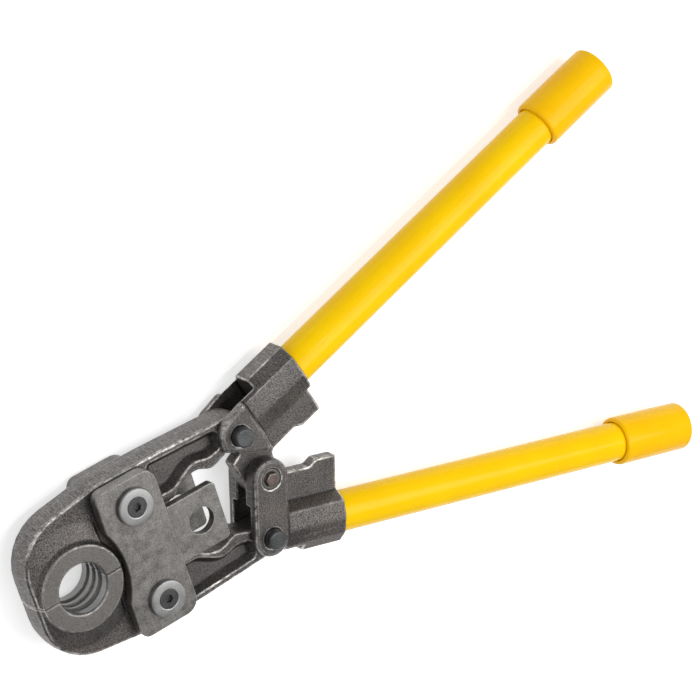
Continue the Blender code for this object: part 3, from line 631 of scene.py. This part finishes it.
def axisOf(nodeName):
    # ends and radius of a long round node
    points = nodePoints(nodeName)
    middle = (points.min(axis=0) + points.max(axis=0)) / 2
    way = np.linalg.svd(points - middle, full_matrices=False)[2][0]
    way = way if way[0] > 0 else -way
    reach = points @ way
    start = points[reach < reach.min() + endSlice].mean(axis=0)
    end = points[reach > reach.max() - endSlice].mean(axis=0)
    way = (end - start) / np.linalg.norm(end - start)
    side = np.linalg.norm((points - start) - np.outer((points - start) @ way, way), axis=1)
    return Vector(start), Vector(end), side.max()


def along(piece, start, end):
    # lay a turned piece, drawn up Z from 0, from start towards end
    turn = (end - start).to_track_quat("Z", "X").to_matrix().to_4x4()
    piece.data.transform(Matrix.Translation(start) @ turn)
    return piece


handleLook = {
    "tubeMore": 0.0006, "tubeWall": 0.0020, "tubeEdge": 0.0004, "gripMore": 0.0008, "gripLip": 0.0019,
    "gripEdge": 0.0016, "gripWall": 0.0030, "gripMouth": 0.0004, "gap": 0.0003, "sides": 96, "edgeSteps": 8,
}
for word in ("upper", "lower"):
    start, end, girth = axisOf(f"tube_{word}")
    length = (end - start).length
    girth += handleLook["tubeMore"]
    bore = girth - handleLook["tubeWall"]
    edge = handleLook["tubeEdge"]
    wall = [(bore, 0), (girth - edge, 0), (girth, edge)]
    wall += [(girth, length - edge), (girth - edge, length), (bore, length)]
    tube = along(turned(f"tube{word.title()}", wall, tubeCoat, handleLook["sides"], True), start, end)
    finishPiece(tube, tubeCoat, f"handle_{word}", "tube_paint", f"tube_{word}")
    start, end, gripGirth = axisOf(f"grip_{word}")
    gripGirth += handleLook["gripMore"]
    length = (end - start).length
    lip = handleLook["gripLip"]
    edge = handleLook["gripEdge"]
    inner = girth + handleLook["gap"]
    depth = length - handleLook["gripWall"]
    sleeve = [(0, depth), (inner, depth), (inner, handleLook["gripMouth"])]
    sleeve += quarter(gripGirth - lip, lip, lip, -90, 0, handleLook["edgeSteps"])
    sleeve += quarter(gripGirth - edge, length - edge, edge, 0, 90, handleLook["edgeSteps"])
    sleeve += [(0, length)]
    grip = along(turned(f"grip{word.title()}", sleeve, gripCoat, handleLook["sides"]), start, end)
    finishPiece(grip, gripCoat, f"handle_{word}", "grip_plastic", f"grip_{word}")
print("stage: handles")


# Lever pins

leverPinLook = {"chamfer": 0.0007, "sides": 64}
for word in ("upper", "lower"):
    low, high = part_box(f"lever_pin_{word}")
    middle = (low + high) / 2
    girth = (high.x - low.x) / 2
    tall = high.z - low.z
    edge = leverPinLook["chamfer"]
    bar = [(0, 0), (girth - edge, 0), (girth, edge), (girth, tall - edge), (girth - edge, tall), (0, tall)]
    pin = turned(f"leverPin{word.title()}", bar, pinSteel, leverPinLook["sides"])
    pin.data.transform(Matrix.Translation((middle.x, middle.y, low.z)))
    finishPiece(pin, pinSteel, f"handle_{word}", "pin", f"lever_pin_{word}")
print("stage: lever pins")


# Fasteners: one washer and one star-socket screw, set on the four pivot ends by Geometry Nodes

fastener = {
    "sides": 72, "turn": 0.35, "washerMore": 0.0004, "washerEdge": 0.0007, "washerSteps": 4,
    "seat": 0.0054, "seatDrop": 0.0021, "headGap": 0.0001, "headTall": 0.0030, "headTaper": 0.0026,
    "headRim": 0.0004, "headBreak": 0.0005, "headChamfer": 0.0002, "starPoints": 6, "starOuter": 0.0026,
    "starInner": 0.66, "starSoft": 0.2, "starDepth": 0.0018, "noStarTop": 1.0, "noStarOuter": 0.0001,
}


def fastenerTree():
    tree = bpy.data.node_groups.new("fastenersOnPivots", "GeometryNodeTree")
    face = tree.interface
    face.new_socket("Pivot Ends", in_out="INPUT", socket_type="NodeSocketGeometry")
    part = face.new_socket("Fastener", in_out="INPUT", socket_type="NodeSocketObject")
    turn = face.new_socket("Turn", in_out="INPUT", socket_type="NodeSocketFloat")
    socketOuter = face.new_socket("Star Outer", in_out="INPUT", socket_type="NodeSocketFloat")
    socketInner = face.new_socket("Star Inner", in_out="INPUT", socket_type="NodeSocketFloat")
    socketDeep = face.new_socket("Star Depth", in_out="INPUT", socket_type="NodeSocketFloat")
    socketTop = face.new_socket("Star Top", in_out="INPUT", socket_type="NodeSocketFloat")
    paint = face.new_socket("Paint", in_out="INPUT", socket_type="NodeSocketMaterial")
    face.new_socket("Piece", in_out="OUTPUT", socket_type="NodeSocketGeometry")
    inside = newNode(tree, "NodeGroupInput")
    source = newNode(tree, "GeometryNodeObjectInfo")
    feed(tree, inside.outputs["Fastener"], source.inputs["Object"])
    star = newNode(tree, "GeometryNodeCurveStar")
    star.inputs["Points"].default_value = fastener["starPoints"]
    feed(tree, inside.outputs["Star Outer"], star.inputs["Outer Radius"])
    feed(tree, inside.outputs["Star Inner"], star.inputs["Inner Radius"])
    soft = newNode(tree, "GeometryNodeFilletCurve", mode="POLY")
    soft.inputs["Count"].default_value = 3
    feed(tree, star.outputs["Curve"], soft.inputs["Curve"])
    rounding = calc(tree, "MULTIPLY", inside.outputs["Star Outer"], fastener["starSoft"])
    feed(tree, rounding, soft.inputs["Radius"])
    filled = newNode(tree, "GeometryNodeFillCurve", mode="NGONS")
    feed(tree, soft.outputs["Curve"], filled.inputs["Curve"])
    grown = newNode(tree, "GeometryNodeExtrudeMesh")
    feed(tree, filled.outputs["Mesh"], grown.inputs["Mesh"])
    feed(tree, calc(tree, "MULTIPLY", inside.outputs["Star Depth"], 2.0), grown.inputs["Offset Scale"])
    lid = newNode(tree, "GeometryNodeFlipFaces")
    feed(tree, filled.outputs["Mesh"], lid.inputs["Mesh"])
    both = newNode(tree, "GeometryNodeJoinGeometry")
    feed(tree, lid.outputs["Mesh"], both.inputs["Geometry"])
    feed(tree, grown.outputs["Mesh"], both.inputs["Geometry"])
    prism = newNode(tree, "GeometryNodeMergeByDistance")
    feed(tree, both.outputs["Geometry"], prism.inputs["Geometry"])
    prism.inputs["Distance"].default_value = mergeGap
    drop = newNode(tree, "ShaderNodeCombineXYZ")
    bottom = calc(tree, "SUBTRACT", inside.outputs["Star Top"], inside.outputs["Star Depth"])
    feed(tree, bottom, drop.inputs["Z"])
    placed = newNode(tree, "GeometryNodeTransform")
    feed(tree, prism.outputs["Geometry"], placed.inputs["Geometry"])
    feed(tree, drop.outputs[0], placed.inputs["Translation"])
    cut = newNode(tree, "GeometryNodeMeshBoolean", operation="DIFFERENCE", solver="EXACT")
    feed(tree, source.outputs["Geometry"], cut.inputs["Mesh 1"])
    feed(tree, placed.outputs["Geometry"], cut.inputs["Mesh 2"])
    facing = newNode(tree, "GeometryNodeInputNamedAttribute", data_type="FLOAT_VECTOR")
    facing.inputs["Name"].default_value = "facing"
    aligned = newNode(tree, "FunctionNodeAlignRotationToVector", axis="Z")
    feed(tree, facing.outputs["Attribute"], aligned.inputs["Vector"])
    onPoints = newNode(tree, "GeometryNodeInstanceOnPoints")
    feed(tree, inside.outputs["Pivot Ends"], onPoints.inputs["Points"])
    feed(tree, cut.outputs["Mesh"], onPoints.inputs["Instance"])
    feed(tree, aligned.outputs["Rotation"], onPoints.inputs["Rotation"])
    spun = newNode(tree, "GeometryNodeRotateInstances")
    feed(tree, onPoints.outputs["Instances"], spun.inputs["Instances"])
    number = newNode(tree, "GeometryNodeInputIndex")
    swing = newNode(tree, "ShaderNodeCombineXYZ")
    feed(tree, calc(tree, "MULTIPLY", number.outputs[0], inside.outputs["Turn"]), swing.inputs["Z"])
    feed(tree, swing.outputs[0], spun.inputs["Rotation"])
    whole = newNode(tree, "GeometryNodeRealizeInstances")
    feed(tree, spun.outputs["Instances"], whole.inputs["Geometry"])
    painted = newNode(tree, "GeometryNodeSetMaterial")
    feed(tree, whole.outputs["Geometry"], painted.inputs["Geometry"])
    feed(tree, inside.outputs["Paint"], painted.inputs["Material"])
    outside = newNode(tree, "NodeGroupOutput")
    feed(tree, painted.outputs["Geometry"], outside.inputs["Piece"])
    sockets = {"part": part, "turn": turn, "outer": socketOuter, "inner": socketInner, "deep": socketDeep,
               "top": socketTop, "paint": paint}
    return tree, {key: entry.identifier for key, entry in sockets.items()}


fastening, fasteningInputs = fastenerTree()


def setOnPivots(name, part, paint, slotName, starTop, starOuter, hidden):
    # one copy of the fastener on every pivot end, all in one plain mesh
    places = []
    facings = []
    for edge in ("upper", "lower"):
        for face, sign in (("front", 1.0), ("rear", -1.0)):
            boxLow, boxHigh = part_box(f"washer_{edge}_{face}")
            middle = (boxLow + boxHigh) / 2
            places.append((middle.x, middle.y, boxLow.z if sign > 0 else boxHigh.z))
            facings.append((0.0, 0.0, sign))
    mesh = bpy.data.meshes.new(name)
    mesh.from_pydata(places, [], [])
    layer = mesh.attributes.new("facing", "FLOAT_VECTOR", "POINT")
    layer.data.foreach_set("vector", [value for facing in facings for value in facing])
    piece = addPiece(name, mesh)
    setting = piece.modifiers.new("setting", "NODES")
    setting.node_group = fastening
    values = {
        "part": part, "turn": fastener["turn"], "outer": starOuter,
        "inner": starOuter * fastener["starInner"], "deep": fastener["starDepth"], "top": starTop,
        "paint": paint,
    }
    for key, value in values.items():
        setting[fasteningInputs[key]] = value
    mesh = settle(piece)
    mesh.shade_smooth()
    mesh.set_sharp_from_angle(angle=math.radians(sharpAngle))
    bpy.data.objects.remove(part, do_unlink=True)
    finishPiece(piece, paint, "straps", slotName, *hidden)


washerLow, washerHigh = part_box("washer_upper_front")
screwLow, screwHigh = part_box("screw_upper_front")
washerGirth = (washerHigh.x - washerLow.x) / 2 + fastener["washerMore"]
washerTall = washerHigh.z - washerLow.z
headGirth = (screwHigh.x - screwLow.x) / 2
seat = fastener["seat"]
seatDrop = fastener["seatDrop"]
washerEdge = fastener["washerEdge"]
rimTop = washerTall - washerEdge
washerSection = [(seat - seatDrop, 0), (washerGirth, 0)]
washerSection += quarter(washerGirth - washerEdge, rimTop, washerEdge, 0, 90, fastener["washerSteps"])
washerSection += [(seat, washerTall), (seat - seatDrop, washerTall - seatDrop)]
washerPart = turned("washerPart", washerSection, zinc, fastener["sides"], True)
headTop = washerTall - fastener["headGap"]
headFoot = headTop - fastener["headTall"]
chamfer = fastener["headChamfer"]
screwSection = [(0, headFoot), (headGirth - fastener["headTaper"], headFoot)]
screwSection += [(headGirth - fastener["headRim"], headTop - fastener["headBreak"])]
screwSection += [(headGirth, headTop - chamfer), (headGirth - chamfer, headTop), (0, headTop)]
screwPart = turned("screwPart", screwSection, screwBlack, fastener["sides"])
ends = [f"{edge}_{face}" for edge in ("upper", "lower") for face in ("front", "rear")]
washerNodes = [f"washer_{end}" for end in ends]
screwNodes = [f"screw_{end}" for end in ends]
# the washers' star lies far above them, so that it cuts nothing
setOnPivots("washers", washerPart, zinc, "zinc", fastener["noStarTop"], fastener["noStarOuter"], washerNodes)
setOnPivots("screws", screwPart, screwBlack, "pin", headTop, fastener["starOuter"], screwNodes)
print("stage: fasteners")


# CAD nodes that show as they are

dressing = {"strap_": plate, "jaw_pivot_": pinSteel, "centre_pin": browned, "centre_bush": bushSteel}
for nodeName, item in nodes.items():
    for start, paint in dressing.items():
        if nodeName.startswith(start):
            item.data.materials.clear()
            item.data.materials.append(paint)
print("stage: carried nodes")


# Floor, backdrop and light

stage = {
    "floorSize": 8.0, "floorDrop": 0.0002, "floorTone": 0.80, "floorLift": 0.56, "floorRough": 0.9,
    "worldTone": 0.45, "backTone": 1.0, "aim": (0.05, 0.0, 0.0), "handleWay": (0.958, 0.286, 0.0),
    "overhead": ((0.36, 0.54, 1.56), (1.5, 0.025), 6.0), "key": ((0.34, -0.06, 0.80), (0.7, 0.5), 4.1),
    "fill": ((-1.0, 0.7, 0.9), (0.9, 0.9), 2.9),
}
floorMesh = bpy.data.meshes.new("floor")
half = stage["floorSize"] / 2
level = -stage["floorDrop"]
corners = [(-half, -half, level), (half, -half, level), (half, half, level), (-half, half, level)]
floorMesh.from_pydata(corners, [], [(0, 1, 2, 3)])
floor = addPiece("floor", floorMesh)
floorPaint, tree, shader, where = newPaint("floorPaint")
shader.inputs["Base Color"].default_value = grey(stage["floorTone"])
shader.inputs["Roughness"].default_value = stage["floorRough"]
rays = newNode(tree, "ShaderNodeLightPath")
seen = calc(tree, "MAXIMUM", rays.outputs["Is Camera Ray"], rays.outputs["Is Glossy Ray"])
shader.inputs["Emission Color"].default_value = grey(1.0)
feed(tree, calc(tree, "MULTIPLY", seen, stage["floorLift"]), shader.inputs["Emission Strength"])
floorMesh.materials.append(floorPaint)

world = bpy.data.worlds.new("studio")
scene.world = world
world.use_nodes = True
sky = world.node_tree.nodes["Background"]
sky.inputs["Color"].default_value = grey(1.0)
rays = newNode(world.node_tree, "ShaderNodeLightPath")
direct = calc(world.node_tree, "MAXIMUM", rays.outputs["Is Camera Ray"], rays.outputs["Is Transmission Ray"])
strength = spread(world.node_tree, direct, 0.0, 1.0, stage["worldTone"], stage["backTone"])
feed(world.node_tree, strength, sky.inputs["Strength"])


def areaLight(name, place, size, power):
    data = bpy.data.lights.new(name, "AREA")
    data.shape = "RECTANGLE"
    data.size, data.size_y = size
    data.energy = power
    item = bpy.data.objects.new(name, data)
    back = (Vector(place) - Vector(stage["aim"])).normalized()
    way = Vector(stage["handleWay"])
    wide = (way - back * back.dot(way)).normalized()
    turn = Matrix((wide, back.cross(wide), back)).transposed().to_4x4()
    item.matrix_world = Matrix.Translation(place) @ turn
    scene.collection.objects.link(item)


for name in ("overhead", "key", "fill"):
    areaLight(name, *stage[name])
print("stage: light")
